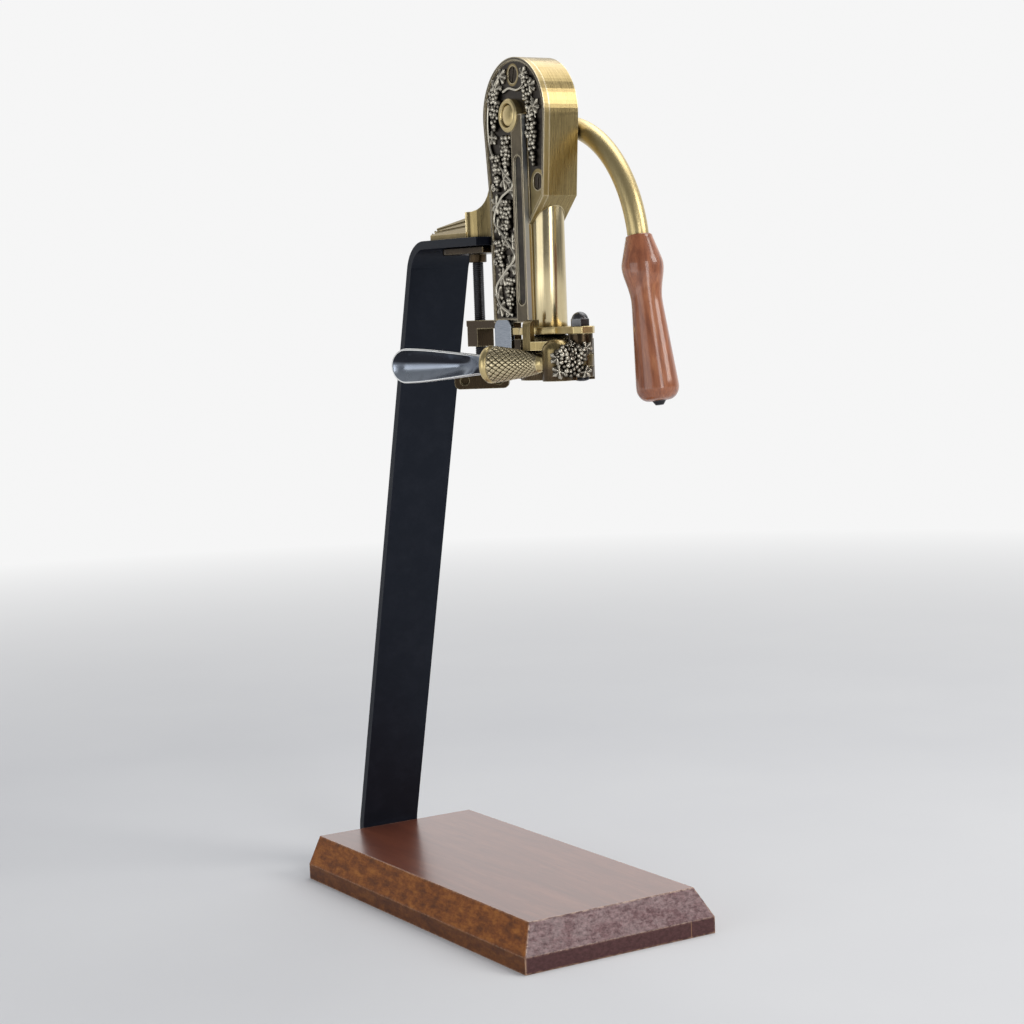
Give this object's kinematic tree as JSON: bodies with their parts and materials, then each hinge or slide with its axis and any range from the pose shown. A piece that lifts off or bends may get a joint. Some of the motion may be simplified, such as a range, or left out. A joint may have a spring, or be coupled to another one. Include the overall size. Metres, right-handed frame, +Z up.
{
  "type": "countertop corkscrew",
  "caption": "Lever corkscrew clamped to a leaning steel bar on a bevelled wooden board; raising the lever drives a rack and worm down the barrel.",
  "frame": {"origin": "on the board's bottom face, under the middle plane of bar and opener, halfway along the board", "axes": "+Z up, -Y towards the operator and the lever's grip, +X to the operator's right"},
  "size_m": [0.1656, 0.3838, 0.6215],
  "materials": {
    "stained_wood": "satin",
    "grip_wood": "gloss",
    "black_paint": "satin",
    "dark_steel": "satin",
    "antique_brass": "brushed",
    "patina_brass": "aged",
    "scaled_brass": "aged",
    "bright_brass": "satin",
    "polished_brass": "polished",
    "bright_steel": "satin",
    "blued_steel": "polished"
  },
  "bodies": {
    "stand": {"board": "stained_wood", "upright_bar": "black_paint", "bar_screws": "dark_steel", "body": "antique_brass", "side_cover": "patina_brass", "cover_screws": "dark_steel", "pivot_ring": "bright_brass", "barrel": "polished_brass", "worm_guide": "bright_brass", "flange": "antique_brass", "lip_bell": "bright_steel", "side_stop": "blued_steel", "fixed_jaw": "antique_brass", "hinge_pin": "dark_steel", "hinge_nut": "dark_steel", "pinion_axle": "bright_steel"},
    "lever": {"lever_shaft": "bright_brass", "sector_gear": "bright_steel", "lever_arm": "bright_brass", "lever_grip": "grip_wood", "grip_nut": "dark_steel"},
    "pinion": {"idler_pinion": "bright_steel"},
    "carriage": {"carriage": "bright_steel"},
    "worm": {"worm": "bright_steel"},
    "jaw": {"swing_jaw": "antique_brass", "handle_ring": "bright_brass", "handle_cone": "scaled_brass", "handle_collar": "bright_brass", "handle_spoon": "blued_steel"},
    "pad": {"clamp_pad": "antique_brass"},
    "screw": {"clamp_screw": "dark_steel", "thumb_bar": "antique_brass"}
  },
  "joints": [
    {"name": "lever_turn", "type": "hinge", "parent": "stand", "child": "lever", "pos_m": [0, -0.0875, 0.5815], "axis": [-1, 0, 0], "range_deg": [0, 150]},
    {"name": "pinion_turn", "type": "hinge", "parent": "stand", "child": "pinion", "pos_m": [0, -0.0875, 0.55], "axis": [-1, 0, 0], "range_deg": [-300, 0]},
    {"name": "carriage_slide", "type": "slide", "parent": "stand", "child": "carriage", "axis": [0, 0, -1], "range_m": [0, 0.055]},
    {"name": "worm_spin", "type": "hinge", "parent": "carriage", "child": "worm", "pos_m": [0, -0.1035, 0.45], "axis": [0, 0, -1], "range_deg": [0, 1980]},
    {"name": "jaw_swing", "type": "hinge", "parent": "stand", "child": "jaw", "pos_m": [0, -0.1415, 0.41], "axis": [0, 0, 1], "range_deg": [-7, 25]},
    {"name": "clamp_turn", "type": "hinge", "parent": "pad", "child": "screw", "pos_m": [0, -0.0095, 0.43], "axis": [0, 0, -1], "range_deg": [0, 1440]},
    {"name": "pad_slide", "type": "slide", "parent": "stand", "child": "pad", "axis": [0, 0, -1], "range_m": [0, 0.012]}
  ],
  "couplings": [
    {"joint": "pinion_turn", "follows": "lever_turn", "ratio": -2},
    {"joint": "carriage_slide", "follows": "lever_turn", "m_per_rad": 0.021},
    {"joint": "worm_spin", "follows": "lever_turn", "ratio": 13.195},
    {"joint": "clamp_turn", "follows": "pad_slide", "rad_per_m": 2094.4}
  ]
}
